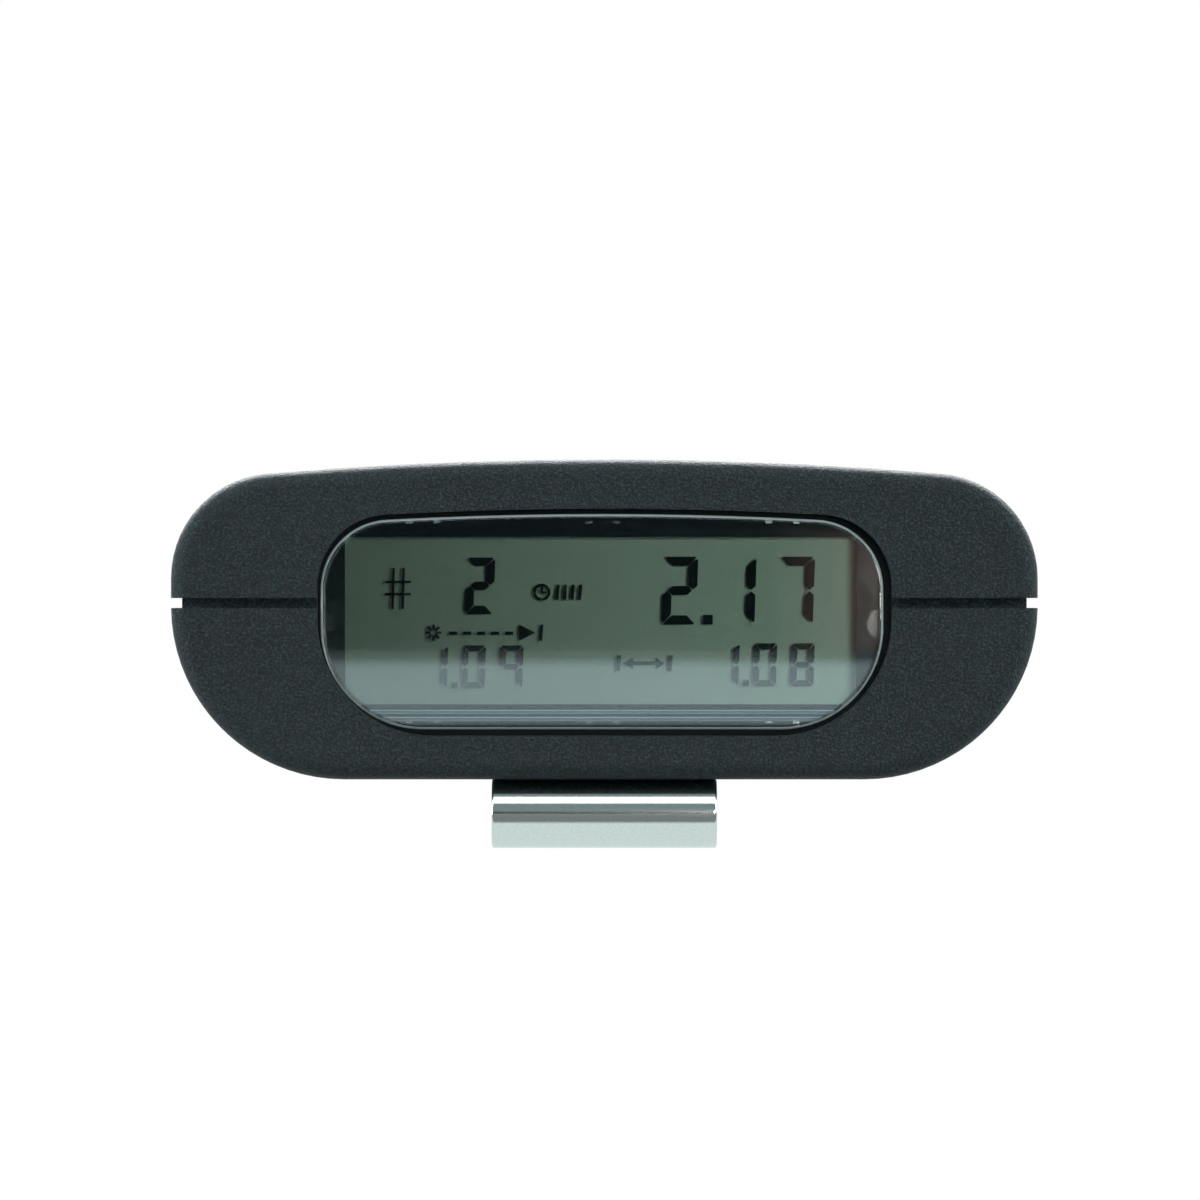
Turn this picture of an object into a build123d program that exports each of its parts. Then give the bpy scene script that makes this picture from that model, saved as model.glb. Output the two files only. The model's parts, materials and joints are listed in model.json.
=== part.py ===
from build123d import *
import math
import os

# Belt-worn shot timer. The display end faces -Y, the keypad face is up (+Z) and the belt clip is
# underneath. The origin is under the middle of the case, at the lowest face of the clip.

# Case
case_width = 80.0
case_length = 118.0
clip_drop = 6.4
back_z = clip_drop
seam_z = back_z + 16.28
crown_z = seam_z + 13.25
crown_radius = 373.0
upper_corner = 9.7
lower_corner = 16.0
wall = 2.2
end_edge = 1.5
near_y = -case_length / 2
far_y = case_length / 2
inner_near_y = near_y + wall
inner_far_y = far_y - wall
floor_z = back_z + wall
ceiling_z = crown_z - wall

# How far a cut runs past the face it opens, how far joined features run into each other, and the
# least difference that keeps two curves apart
beyond = 1.0
bite = 0.3
hair = 0.01

# Shadow groove round the seam, and the tongue of the rear shell inside it
groove_half = 0.46
groove_depth = 1.05
tongue_rise = 1.6
tongue_gap = 0.1

# Window opening in the display end
window_width = 53.0
window_above = 8.7
window_below = 12.24
window_upper_corner = 6.7
window_lower_corner = 10.65

# Clear window. Like the display behind it, it sits a little to one side of the opening
lens_x = -0.22
lens_width = 51.84
lens_above = 8.21
lens_below = 11.64
lens_upper_corner = 6.4
lens_lower_corner = 9.4
lens_face_y = near_y + 0.1
lens_edge = 0.3
gasket_thick = 0.5
flange_thick = 1.2
flange_grow = 1.2
layer_gap = 0.05

# Display stack, from the front backwards
display_x = -0.35
view_width = 47.3
view_height = 15.5
view_corner = 0.4
view_z = seam_z - 1.63
holder_y = near_y + 4.5
holder_web = 0.5
holder_width = 54.4
holder_height = 22.0
holder_corner = 1.5
pocket_width = 50.4
pocket_height = 20.6
polariser_thick = 0.2
glass_thick = 1.1
glass_width = 50.0
film_width = 49.0
film_height = 16.4
front_glass_height = 16.8
rear_glass_height = 19.4
rib_radius = 0.2
rib_side = 1.0
rib_drops = (10.07, 10.72)
display_board_y = near_y + 9.4
display_board_width = 58.0
display_board_height = 21.6
display_board_corner = 3.5
board_thick = 1.6
blob_radius = 6.5
blob_sink = 4.6
blob_drop = 3.9

# Edge pins of the display, in three banks of four, and the small openings that show some of them
pin_x = -0.13
pin_banks = (-16.65, 0.0, 16.65)
pins_per_bank = 4
pin_pitch = 2.54
pin_width = 0.7
pin_thick = 0.3
pin_overlap = 1.2
pin_tail = 1.0
peep_reach = 9.24
peep_centre_z = seam_z - 1.79
peep_width = 0.62
peep_height = 0.22

# Screws at the two sides of the display holder
side_screw_x = 25.9
side_screw_z = seam_z - 1.9
side_screw_radius = 0.6
side_head_radius = 1.3
side_head_thick = 0.4
side_slot = 0.3
thread_gap = 0.02

# Main board and the pins that join it to the display board
board_top_z = seam_z + 4.7
board_near_y = near_y + 12.6
board_far_y = -2.0
board_width = 68.0
board_corner = 3.0
board_under_z = board_top_z - board_thick
header_count = 8
header_y = board_near_y + 1.6
header_z = board_under_z - 1.3
header_pin_half = 0.32
header_stub = 0.4
strip_half_length = 10.4
strip_size = 2.6

# Components under the main board
chip_y = -20.2
chip_length = 18.0
chip_width = 7.6
chip_height = 2.3
chip_lift = 0.2
chip_pins = 14
chip_pitch = 1.27
chip_pin_width = 0.4
chip_pin_thick = 0.25
chip_foot_y = 5.0
chip_foot_thick = 0.3
crystal_place = (20.0, -22.0)
crystal_size = (10.5, 4.4)
crystal_height = 3.3
crystal_rim = 0.3
capacitor_places = ((-20.0, -30.0), (-20.0, -22.0), (22.0, -33.0))
capacitor_radius = 2.5
capacitor_height = 7.0
capacitor_neck = 0.2
capacitor_neck_drop = 1.4
capacitor_neck_width = 0.6

# Keys and their switches
switch_size = 6.0
switch_height = 3.3
plunger_radius = 1.7
plunger_rise = 0.8
plunger_sink = 1.7
plunger_gap = 0.1
plunger_bore = 2.2
key_stand = 0.4
key_gap = 0.2
key_edge = 0.5
key_flange = 0.8
key_flange_grow = 1.2
key_stem_radius = 2.2
small_key_length = 10.0
small_key_width = 6.5
start_key_radius = 8.0
keys = {
    "power": (-24.0, -30.0),
    "back": (-8.0, -30.0),
    "forward": (8.0, -30.0),
    "menu": (24.0, -30.0),
    "start": (0.0, -12.0),
}
face_cut = (ceiling_z - 4.0, crown_z + 2.0)
label_depth = 0.4
label_width = 62.0
label_near_y = -38.0
label_far_y = -1.0
label_corner = 4.0
label_gap = 0.1

# Loudspeaker and microphone
speaker_y = 28.0
speaker_radius = 16.0
speaker_rim_z = ceiling_z - 0.75
speaker_depth = 2.5
basket_wall = 1.0
basket_floor = 0.6
basket_holes = 6
basket_hole_radius = 2.0
basket_hole_ring = 12.0
speaker_ring_wall = 1.1
speaker_ring_gap = 0.2
speaker_ring_depth = 1.6
cone_dome = 6.0
cone_valley = 7.0
cone_thick = 0.2
cone_drop = 0.9
cone_valley_drop = 0.8
cone_rim_rise = 0.4
cloth_thick = 0.25
magnet_radius = 8.5
magnet_height = 1.8
grille_pitch = 4.4
grille_hole = 1.0
grille_rows = 3
grille_margin = 1.6
mic_x = 24.0
mic_y = -13.0
mic_radius = 3.0
mic_height = 2.7
boot_wall = 1.2
boot_bore = 1.2

# Battery bay and its sliding door
bay_half = 14.2
bay_wall = 1.6
bay_end_wall = 1.2
bay_near_y = 2.8
bay_roof_z = back_z + 20.5
roof_thick = 1.2
rail_half = 18.2
rail_height = 1.7
lead_slot_half = 4.0
lead_slot_z = (floor_z + 6.0, floor_z + 11.0)
battery_width = 26.5
battery_height = 17.5
battery_body = 46.4
battery_corner = 2.0
battery_z = back_z + 2.3
battery_far_y = inner_far_y - 0.6
battery_near_y = battery_far_y - battery_body
terminal_x = 6.35
terminal_z = battery_z + battery_height / 2
terminal_length = 2.1
stud_radius = 2.9
socket_radius = 4.2
snap_near_y = battery_near_y - 4.2
snap_width = 25.0
snap_height = 12.0
snap_corner = 4.0
pad_half = 10.0
pad_y = (16.0, 50.0)
door_half = 15.0
door_tongue_half = 16.4
door_skin = 1.1
door_near_y = 4.2
door_gap = 0.2
door_slack = 0.1
grip_count = 5
grip_pitch = 2.4
grip_half_length = 9.0
grip_half_width = 0.6
grip_depth = 0.5

# Leads
battery_lead_radius = 0.65
battery_lead_bend = 3.2
battery_lead_ends = {"black": (-2.0, -6.0), "red": (2.0, -6.0)}
speaker_lead_radius = 0.5
speaker_lead_bend = 0.8
speaker_lead_x = 2.5
speaker_lead_y = -3.2
speaker_lead_start = 0.4

# Belt clip, one bent strip of spring steel
clip_width = 20.8
clip_thick = 1.0
clip_near_y = near_y + 0.4
clip_base_far_y = -32.0
clip_ramp_y = -22.0
clip_ramp_radius = 3.0
clip_grip = (-10.0, 5.7)
clip_tip = (-4.5, 3.9)
clip_tip_corner = 4.0
bend_y = clip_near_y + clip_drop / 2
rivet_y = (-48.0, -38.0)
rivet_radius = 1.3
rivet_head_radius = 2.3
rivet_head_height = 0.9
clinch_radius = 2.0
clinch_height = 0.8

# Fasteners and the bosses that take them
case_screw_x = 28.0
case_screw_y = (-41.0, 46.0)
case_screw_radius = 1.0
case_screw_grip = 7.0
case_head_radius = 2.4
case_head_height = 1.8
case_head_seat_z = back_z + 5.0
cross_reach = 1.6
cross_half = 0.3
cross_depth = 0.9
front_boss_radius = 3.2
rear_boss_radius = 3.6
guide_x = (28.1, 33.5)
guide_low_z = seam_z + 3.2
guide_thick = 1.25
guide_gap = 0.15
board_screw_places = ((-29.0, -7.0), (29.0, -7.0), (-15.5, -41.0), (15.5, -41.0))
board_screw_radius = 0.9
board_screw_grip = 4.0
board_head_radius = 1.9
board_head_height = 1.3
post_radius = 2.5


def block(x0, x1, y0, y1, z0, z1):
    """Box between two opposite corners."""
    size = Box(abs(x1 - x0), abs(y1 - y0), abs(z1 - z0))
    return Pos((x0 + x1) / 2, (y0 + y1) / 2, (z0 + z1) / 2) * size


def rod(x, y, z0, z1, radius):
    """Upright cylinder."""
    return Pos(x, y, (z0 + z1) / 2) * Cylinder(radius, z1 - z0)


def rod_along_y(x, z, y0, y1, radius):
    """Cylinder lying along Y."""
    return Pos(x, (y0 + y1) / 2, z) * Rot(90, 0, 0) * Cylinder(radius, y1 - y0)


def run_y(outline, y0, y1):
    """Extrude an outline drawn in X and Z from y0 to y1."""
    end_plane = Plane(origin=(0, y1, 0), x_dir=(1, 0, 0), z_dir=(0, -1, 0))
    return extrude(end_plane * outline, amount=y1 - y0)


def panel(width, height, z, y0, y1, corner=0.0):
    """Upright rectangular plate, centred on the display."""
    flat = RectangleRounded(width, height, corner) if corner else Rectangle(width, height)
    return run_y(Pos(display_x, z) * flat, y0, y1)


def crown_fall(x):
    """Drop of the crowned face at a distance x from the middle."""
    return crown_radius - math.sqrt(crown_radius**2 - x**2)


def crowned_outline(half, low_z, top_z, low_corner, top_corner):
    """Flat-bottomed outline with a crowned top and four rounded corners."""
    edge_z = top_z - crown_fall(half)
    top = ThreePointArc((-half, edge_z), (0, top_z), (half, edge_z))
    sides = Polyline((half, edge_z), (half, low_z), (-half, low_z), (-half, edge_z))
    face = Sketch() + make_face([top, *sides.edges()])
    face = fillet(face.vertices().sort_by(Axis.Y)[:2], low_corner)
    corners = face.vertices().filter_by_position(Axis.Y, edge_z - hair, edge_z + hair)
    return fillet(corners, top_corner)


def case_core(inset):
    """Solid of the case outline, pulled in by inset on every side and end."""
    outline = crowned_outline(case_width / 2, back_z, crown_z, lower_corner, upper_corner)
    if inset:
        outline = offset(outline, amount=-inset)
    return run_y(outline, near_y + inset, far_y - inset)


def case_solid():
    """Whole case with its end edges rounded."""
    body = case_core(0)
    ends = body.faces().sort_by(Axis.Y)
    return fillet(ends[0].edges() + ends[-1].edges(), end_edge)


def slab(z0, z1):
    """Layer of space that covers the whole case between two heights."""
    return block(-case_width, case_width, -case_length, case_length, z0, z1)


def window_outline(grow=0.0):
    """Outline of the window opening, grown all round."""
    outline = crowned_outline(
        window_width / 2,
        seam_z - window_below,
        seam_z + window_above,
        window_lower_corner,
        window_upper_corner,
    )
    return offset(outline, amount=grow) if grow else outline


def window_opening():
    """Space cut through the display end for the window."""
    return run_y(window_outline(), near_y - beyond, inner_near_y + layer_gap)


def lens_outline(grow=0.0):
    """Outline of the clear window's plug, grown all round."""
    outline = crowned_outline(
        lens_width / 2,
        seam_z - lens_below,
        seam_z + lens_above,
        lens_lower_corner,
        lens_upper_corner,
    )
    outline = Pos(lens_x, 0) * outline
    return offset(outline, amount=grow) if grow else outline


def key_column(name, grow, z0, z1):
    """Upright column with the outline of one key."""
    x, y = keys[name]
    if name == "start":
        return rod(x, y, z0, z1, start_key_radius + grow)
    length = small_key_length + 2 * grow
    width = small_key_width + 2 * grow
    flat = RectangleRounded(length, width, width / 2 - hair)
    return Pos(x, y, z0) * extrude(flat, amount=z1 - z0)


def case_screw_places():
    """X and Y of the four screws that hold the two shells together."""
    return [(x, y) for x in (-case_screw_x, case_screw_x) for y in case_screw_y]


def grille_holes():
    """Hexagonal field of sound holes over the loudspeaker."""
    holes = Part()
    row_pitch = grille_pitch * math.sqrt(3) / 2
    steps = range(-grille_rows, grille_rows + 1)
    for row in steps:
        for column in steps:
            x = (column + (row % 2) / 2) * grille_pitch
            y = row * row_pitch
            if math.hypot(x, y) < speaker_radius - grille_margin:
                holes += rod(x, speaker_y + y, *face_cut, grille_hole)
    return holes


def label_column(grow):
    """Column with the outline of the face label."""
    width = label_width + 2 * grow
    length = label_far_y - label_near_y + 2 * grow
    flat = RectangleRounded(width, length, label_corner)
    z0, z1 = face_cut
    return Pos(0, (label_near_y + label_far_y) / 2, z0) * extrude(flat, amount=z1 - z0)


def face_label():
    """Thin label in the recess of the front face, with openings for the keys."""
    skin = (case_core(0) - case_core(label_depth)) & label_column(-label_gap)
    skin = skin & slab(ceiling_z, crown_z)
    for name in keys:
        skin -= key_column(name, key_gap, *face_cut)
    return skin - rod(mic_x, mic_y, *face_cut, grille_hole)


def front_bosses():
    """Screw bosses, board posts, board guides and speaker ring under the front face."""
    bosses = Part()
    for x, y in case_screw_places():
        bosses += rod(x, y, seam_z + tongue_gap, crown_z, front_boss_radius)
    in_front = display_board_y - guide_gap - guide_thick
    behind = display_board_y + board_thick + guide_gap
    for side in (-1, 1):
        x0, x1 = [side * x for x in guide_x]
        for y in (in_front, behind):
            bosses += block(x0, x1, y, y + guide_thick, guide_low_z, crown_z)
    for x, y in board_screw_places:
        bosses += rod(x, y, board_top_z, crown_z, post_radius)
    bore = speaker_radius + speaker_ring_gap
    low_z = speaker_rim_z - speaker_ring_depth
    ring = rod(0, speaker_y, low_z, crown_z, bore + speaker_ring_wall)
    bosses += ring - rod(0, speaker_y, low_z - beyond, crown_z + beyond, bore)
    return bosses & case_core(wall - bite)


def front_shell():
    """Upper half of the case: crowned keypad face, seam rabbet, bosses and openings."""
    shell = case_solid() & slab(seam_z + groove_half, crown_z + beyond)
    shell -= case_core(wall)
    rabbet_top = seam_z + groove_half + tongue_rise + tongue_gap
    shell -= case_core(groove_depth - tongue_gap) & slab(seam_z, rabbet_top)
    shell += front_bosses()
    shell -= window_opening()
    shell -= (case_solid() - case_core(label_depth)) & label_column(0)
    for name in keys:
        shell -= key_column(name, key_gap, *face_cut)
    shell -= grille_holes()
    shell -= rod(mic_x, mic_y, *face_cut, grille_hole)
    for x, y in case_screw_places():
        bore_top = seam_z + case_screw_grip + beyond
        shell -= rod(x, y, seam_z - beyond, bore_top, case_screw_radius + thread_gap)
    for x, y in board_screw_places:
        bore_top = board_top_z + board_screw_grip + 2 * tongue_gap
        shell -= rod(x, y, board_top_z - beyond, bore_top, board_screw_radius + thread_gap)
    return shell


def battery_bay():
    """Box for the battery, standing on the floor of the rear shell."""
    outer = bay_half + bay_wall
    near = bay_near_y - bay_end_wall
    low_z = floor_z - bite
    box = block(-outer, outer, near, inner_far_y - bite, low_z, bay_roof_z + roof_thick)
    box += block(-outer, outer, inner_far_y - beyond, inner_far_y + bite, low_z, seam_z - beyond)
    for side in (-1, 1):
        x0, x1 = side * bay_half, side * rail_half
        box += block(x0, x1, near, inner_far_y + bite, low_z, floor_z + rail_height)
    return box


def rear_bosses():
    """Screw bosses on the floor of the rear shell."""
    bosses = Part()
    for x, y in case_screw_places():
        bosses += rod(x, y, back_z, seam_z, rear_boss_radius)
    return bosses & case_core(wall - bite)


def door_slot():
    """Opening for the battery door, with the wider slot that its tongue slides in."""
    open_half = door_half + door_gap
    slot_half = door_tongue_half + door_gap
    top = floor_z + door_slack
    slot = block(-open_half, open_half, door_near_y - door_gap, far_y + beyond, back_z - beyond, top)
    return slot + block(-slot_half, slot_half, bay_near_y, far_y + beyond, back_z + door_skin, top)


def rear_shell():
    """Lower half of the case: tongue, battery bay, bosses and the slot for the door."""
    shell = case_solid() & slab(back_z - beyond, seam_z - groove_half)
    shell -= case_core(wall)
    tongue = case_core(groove_depth) - case_core(wall)
    shell += tongue & slab(seam_z - 2 * beyond, seam_z + groove_half + tongue_rise)
    shell += battery_bay() + rear_bosses()
    shell -= window_opening()
    shell -= block(-bay_half, bay_half, bay_near_y, inner_far_y, floor_z - beyond, bay_roof_z)
    shell -= door_slot()
    slot_near = bay_near_y - bay_end_wall - beyond
    shell -= block(-lead_slot_half, lead_slot_half, slot_near, bay_near_y + layer_gap, *lead_slot_z)
    for x, y in case_screw_places():
        shell -= rod(x, y, back_z - beyond, seam_z + beyond, case_screw_radius + bite)
        shell -= rod(x, y, back_z - beyond, case_head_seat_z, case_head_radius + bite)
    for y in rivet_y:
        shell -= rod(0, y, back_z - beyond, floor_z + beyond, rivet_radius + thread_gap)
    return shell


def display_window():
    """Clear window: a plug that stands in the opening and a flange behind the end wall."""
    flange_y = inner_near_y + gasket_thick
    plug = run_y(lens_outline(), lens_face_y, flange_y + bite)
    plug = fillet(plug.faces().sort_by(Axis.Y)[0].edges(), lens_edge)
    return plug + run_y(window_outline(flange_grow), flange_y, flange_y + flange_thick)


def window_gasket():
    """Black seal between the flange of the window and the end wall."""
    ring = run_y(window_outline(flange_grow), inner_near_y, inner_near_y + gasket_thick)
    return ring - run_y(lens_outline(layer_gap), near_y, inner_far_y)


def front_polariser_y():
    """Front face of the front polariser."""
    return holder_y + holder_web + layer_gap


def front_glass_y():
    """Front face of the front glass."""
    return front_polariser_y() + polariser_thick + layer_gap


def rear_glass_y():
    """Front face of the rear glass."""
    return front_glass_y() + glass_thick + layer_gap


def front_polariser():
    """Polarising film on the front of the display."""
    y = front_polariser_y()
    return panel(film_width, film_height, view_z, y, y + polariser_thick)


def lcd_front_glass():
    """Shorter front glass of the display."""
    y = front_glass_y()
    return panel(glass_width, front_glass_height, view_z, y, y + glass_thick)


def lcd_rear_glass():
    """Rear glass of the display, longer for the pins on its edges."""
    y = rear_glass_y()
    return panel(glass_width, rear_glass_height, view_z, y, y + glass_thick)


def lcd_reflector():
    """Rear polariser and reflector of the display."""
    y = rear_glass_y() + glass_thick + layer_gap
    return panel(film_width, film_height, view_z, y, y + polariser_thick)


def pin_places():
    """X positions of the display pins along one edge."""
    steps = [(n - (pins_per_bank - 1) / 2) * pin_pitch for n in range(pins_per_bank)]
    return [pin_x + bank + step for bank in pin_banks for step in steps]


def lcd_pins():
    """Edge pins of the display: a front finger, a bridge over the glass and a leg."""
    pins = Part()
    front = holder_y + holder_web + 2 * layer_gap
    edge = rear_glass_height / 2 + layer_gap
    leg_end = display_board_y + board_thick + pin_tail
    for x in pin_places():
        left, right = x - pin_width / 2, x + pin_width / 2
        for side in (-1, 1):
            inner = view_z + side * (edge - pin_overlap)
            middle = view_z + side * edge
            outer = view_z + side * (edge + pin_thick)
            finger = block(left, right, front, rear_glass_y() - layer_gap, inner, outer)
            pins += finger + block(left, right, front, leg_end, middle, outer)
    return pins


def peeps():
    """Small openings in the web of the holder, in front of the inner pins of each bank."""
    openings = Part()
    for bank in pin_banks:
        for step in (-pin_pitch / 2, pin_pitch / 2):
            for side in (-1, 1):
                place = Pos(pin_x + bank + step, peep_centre_z + side * peep_reach)
                peep = place * Rectangle(peep_width, peep_height)
                openings += run_y(peep, holder_y - beyond, holder_y + holder_web + beyond)
    return openings


def lcd_holder():
    """Black frame that carries the display in front of its board."""
    web_back = holder_y + holder_web
    frame = panel(holder_width, holder_height, view_z, holder_y, display_board_y, holder_corner)
    frame -= panel(pocket_width, pocket_height, view_z, web_back, display_board_y + beyond)
    frame -= panel(view_width, view_height, view_z, holder_y - beyond, web_back + beyond, view_corner)
    rib_width = view_width + 2 * rib_side
    for drop in rib_drops:
        rib = Rot(0, 90, 0) * Cylinder(rib_radius, rib_width)
        frame += Pos(display_x, holder_y, seam_z - drop) * rib
    frame -= peeps()
    for x in side_screw_places():
        bore = side_screw_radius + thread_gap
        frame -= rod_along_y(x, side_screw_z, holder_y - beyond, display_board_y + beyond, bore)
    return frame


def side_screw_places():
    """X positions of the two screws of the display holder."""
    return (display_x - side_screw_x, display_x + side_screw_x)


def holder_screws():
    """Two small screws through the ends of the holder into the display board."""
    screws = Part()
    head_y = holder_y - side_head_thick
    slot_y = head_y + side_head_thick / 2
    low_z, high_z = side_screw_z - side_slot / 2, side_screw_z + side_slot / 2
    end_y = display_board_y + board_thick
    reach = side_head_radius + beyond
    for x in side_screw_places():
        head = rod_along_y(x, side_screw_z, head_y, holder_y, side_head_radius)
        head -= block(x - reach, x + reach, head_y - beyond, slot_y, low_z, high_z)
        screws += head + rod_along_y(x, side_screw_z, holder_y, end_y, side_screw_radius)
    return screws


def display_board():
    """Upright circuit board behind the display."""
    flat = RectangleRounded(display_board_width, display_board_height, display_board_corner)
    board = run_y(Pos(0, view_z + bite) * flat, display_board_y, display_board_y + board_thick)
    return board - lcd_pins() - holder_screws() - header_pins()


def driver_blob():
    """Domed seal over the display driver, on the back of the display board."""
    y = display_board_y + board_thick
    z = view_z - blob_drop
    reach = blob_radius
    ball = Pos(0, y - blob_sink, z) * Sphere(reach)
    return ball & block(-reach, reach, y, y + reach, z - reach, z + reach)


def header_places():
    """X positions of the pins between the two boards."""
    return [(n - (header_count - 1) / 2) * pin_pitch for n in range(header_count)]


def header_pins():
    """Right-angled pins that join the display board to the main board."""
    pins = Part()
    half = header_pin_half
    for x in header_places():
        left, right = x - half, x + half
        near = display_board_y - header_stub
        pins += block(left, right, near, header_y + half, header_z - half, header_z + half)
        top = board_top_z + header_stub
        pins += block(left, right, header_y - half, header_y + half, header_z - half, top)
    return pins


def header_strip():
    """Insulator of the header pins, under the front edge of the main board."""
    near, far = header_y - strip_size / 2, header_y + strip_size / 2
    low_z = board_under_z - strip_size
    strip = block(-strip_half_length, strip_half_length, near, far, low_z, board_under_z)
    return strip - header_pins()


def main_board():
    """Main circuit board under the keys."""
    length = board_far_y - board_near_y
    board = extrude(RectangleRounded(board_width, length, board_corner), amount=board_thick)
    board = Pos(0, (board_near_y + board_far_y) / 2, board_under_z) * board
    for x, y in case_screw_places():
        board -= rod(x, y, back_z, crown_z, rear_boss_radius)
    for x, y in board_screw_places:
        board -= rod(x, y, back_z, crown_z, board_screw_radius + key_gap)
    for x, y in battery_lead_ends.values():
        board -= rod(x, y, back_z, crown_z, battery_lead_radius + thread_gap)
    return board - header_pins()


def microcontroller():
    """Processor with gull-wing legs under the main board."""
    half = chip_width / 2
    high_z = board_under_z - chip_lift
    ends = chip_length / 2
    chip = block(-ends, ends, chip_y - half, chip_y + half, high_z - chip_height, high_z)
    leg_top = board_under_z - chip_height / 2 + chip_lift
    leg_low = leg_top - chip_pin_thick
    for n in range(chip_pins):
        x = (n - (chip_pins - 1) / 2) * chip_pitch
        left, right = x - chip_pin_width / 2, x + chip_pin_width / 2
        for side in (-1, 1):
            root = chip_y + side * (half - chip_foot_thick)
            tip = chip_y + side * chip_foot_y
            chip += block(left, right, root, tip, leg_low, leg_top)
            chip += block(left, right, tip - side * chip_foot_thick, tip, leg_low, board_under_z)
    return chip


def crystal():
    """Metal can of the timing crystal, with the rim round its foot."""
    length, width = crystal_size
    corner = width / 2 - hair
    rim = RectangleRounded(length + 2 * crystal_rim, width + 2 * crystal_rim, corner)
    can = extrude(RectangleRounded(length, width, corner), amount=-crystal_height)
    return Pos(*crystal_place, board_under_z) * (can + extrude(rim, amount=-crystal_rim))


def capacitors():
    """Electrolytic capacitors under the main board, each with a rolled neck."""
    cans = Part()
    neck_high = board_under_z - capacitor_neck_drop
    neck_low = neck_high - capacitor_neck_width
    for x, y in capacitor_places:
        neck = rod(x, y, neck_low, neck_high, capacitor_radius + beyond)
        neck -= rod(x, y, neck_low - beyond, neck_high + beyond, capacitor_radius - capacitor_neck)
        cans += rod(x, y, board_under_z - capacitor_height, board_under_z, capacitor_radius) - neck
    return cans


def switch_top_z():
    """Top of the key switches' housings."""
    return board_top_z + switch_height


def switch_bodies():
    """Housings of the five key switches on the main board."""
    bodies = Part()
    half = switch_size / 2
    top = switch_top_z()
    for x, y in keys.values():
        body = block(x - half, x + half, y - half, y + half, board_top_z, top)
        bodies += body - rod(x, y, top - plunger_bore, top + beyond, plunger_radius + plunger_gap)
    return bodies


def key_plunger(name):
    """Plunger of one key switch."""
    top = switch_top_z()
    return rod(*keys[name], top - plunger_sink, top + plunger_rise, plunger_radius)


def key_cap(name):
    """Moving key: a rounded cap, with a flange under the front face that keeps it in."""
    x, y = keys[name]
    reach = start_key_radius if name == "start" else small_key_length / 2
    flange_top = ceiling_z - crown_fall(abs(x) + reach + key_flange_grow) - plunger_gap
    flange_low = flange_top - key_flange
    foot_z = switch_top_z() + plunger_rise
    cap = key_column(name, 0, flange_top - bite, face_cut[1]) & case_core(-key_stand)
    cap = fillet(cap.faces().sort_by(Axis.Z)[-1].edges(), key_edge)
    cap += key_column(name, key_flange_grow, flange_low, flange_top)
    if flange_low > foot_z:
        cap += rod(x, y, foot_z, flange_low + bite, key_stem_radius)
    return cap


def speaker_frame():
    """Basket of the loudspeaker."""
    bottom = speaker_rim_z - speaker_depth
    basket = rod(0, speaker_y, bottom, speaker_rim_z, speaker_radius)
    inside = speaker_radius - basket_wall
    basket -= rod(0, speaker_y, bottom + basket_floor, speaker_rim_z + beyond, inside)
    for n in range(basket_holes):
        angle = math.tau * n / basket_holes
        x = basket_hole_ring * math.cos(angle)
        y = speaker_y + basket_hole_ring * math.sin(angle)
        basket -= rod(x, y, bottom - beyond, bottom + beyond, basket_hole_radius)
    return basket


def speaker_magnet():
    """Magnet cup under the loudspeaker basket."""
    top = speaker_rim_z - speaker_depth
    cup = rod(0, speaker_y, top - magnet_height, top, magnet_radius)
    return fillet(cup.faces().sort_by(Axis.Z)[0].edges(), key_edge)


def speaker_cone():
    """Thin domed diaphragm of the loudspeaker."""
    z = speaker_rim_z - cone_drop
    valley_z = z - cone_valley_drop
    rim_z = z + cone_rim_rise
    rim = speaker_radius - basket_wall - 3 * layer_gap
    under = Polyline((0, z), (cone_dome, z), (cone_valley, valley_z), (rim, rim_z))
    over = Polyline(
        (rim, rim_z),
        (rim, rim_z + cone_thick),
        (cone_valley, valley_z + cone_thick),
        (cone_dome, z + cone_thick),
        (0, z + cone_thick),
        (0, z),
    )
    flat = make_face([*under.edges(), *over.edges()])
    return Pos(0, speaker_y, 0) * revolve(Plane.XZ * flat, axis=Axis.Z)


def speaker_cloth():
    """Dust cloth between the loudspeaker and the sound holes."""
    low_z = speaker_rim_z + layer_gap
    return rod(0, speaker_y, low_z, low_z + cloth_thick, speaker_radius - key_edge)


def lead(points, bend, radius):
    """Insulated wire along straight runs joined by arcs."""
    path = FilletPolyline(*points, radius=bend)
    profile = Plane(origin=path @ 0, z_dir=path % 0) * Circle(radius)
    return sweep(profile, path=path)


def battery_lead(colour):
    """One battery lead, from the snap connector up into the main board."""
    x, y = battery_lead_ends[colour]
    z = (lead_slot_z[0] + lead_slot_z[1]) / 2 - 2 * bite
    points = ((x, snap_near_y, z), (x, y, z), (x, y, board_top_z))
    return lead(points, battery_lead_bend, battery_lead_radius)


def speaker_leads():
    """Two leads from the loudspeaker basket to the top of the main board."""
    leads = Part()
    z = bay_roof_z + roof_thick + speaker_lead_radius + 5 * layer_gap
    start_y = speaker_y - magnet_radius - speaker_lead_start
    for x in (-speaker_lead_x, speaker_lead_x):
        points = ((x, start_y, z), (x, speaker_lead_y, z), (x, speaker_lead_y, board_top_z))
        leads += lead(points, speaker_lead_bend, speaker_lead_radius)
    return leads


def microphone():
    """Electret capsule on the main board."""
    return rod(mic_x, mic_y, board_top_z, board_top_z + mic_height, mic_radius)


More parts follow.
